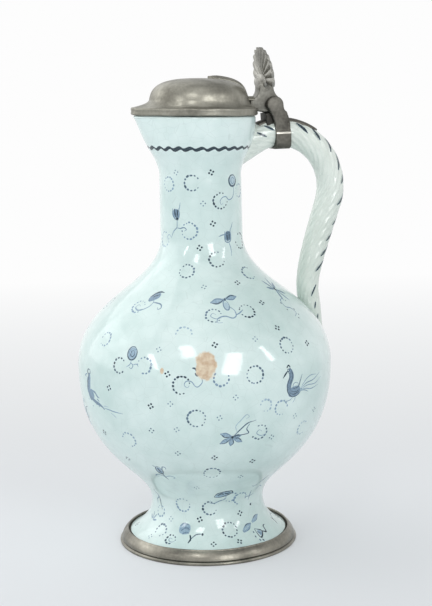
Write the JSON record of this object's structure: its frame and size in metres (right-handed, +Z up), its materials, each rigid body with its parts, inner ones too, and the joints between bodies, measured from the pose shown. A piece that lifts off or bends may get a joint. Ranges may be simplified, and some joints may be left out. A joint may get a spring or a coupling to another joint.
{
  "type": "narrow-necked jug with a hinged lid",
  "caption": "Pear-bodied glazed earthenware jug with a narrow neck, pinched pouring lip, twisted handle, hinged domed pewter lid with a shell thumb rest, and a pewter foot ring.",
  "frame": {"origin": "on the jug's axis, in the plane that the foot ring stands on", "axes": "+Z up along the jug's axis; +X towards the handle and -X towards the pouring lip; the hinge pin lies along Y"},
  "size_m": [0.1685, 0.1536, 0.3001],
  "materials": {
    "tin_glaze": "glossy tin glaze over earthenware, painted in cobalt blue",
    "pewter": "dull cast pewter with a worn sheen",
    "putty": "matt bedding putty"
  },
  "bodies": {
    "jug": {"jug_body": "tin_glaze", "rope_handle": "tin_glaze", "foot_ring": "pewter", "foot_bedding": "putty", "handle_tongue": "pewter", "handle_band": "pewter", "hinge_bracket": "pewter", "hinge_pin": "pewter", "pin_end_plugs": "pewter"},
    "lid": {"lid_cover": "pewter", "lid_strap": "pewter", "hinge_lug": "pewter", "thumb_rest": "pewter"}
  },
  "joints": [
    {"name": "lid_hinge", "type": "hinge", "parent": "jug", "child": "lid", "pos_m": [0.0456, 0, 0.2671], "axis": [0, 1, 0], "range_deg": [0, 110]}
  ]
}
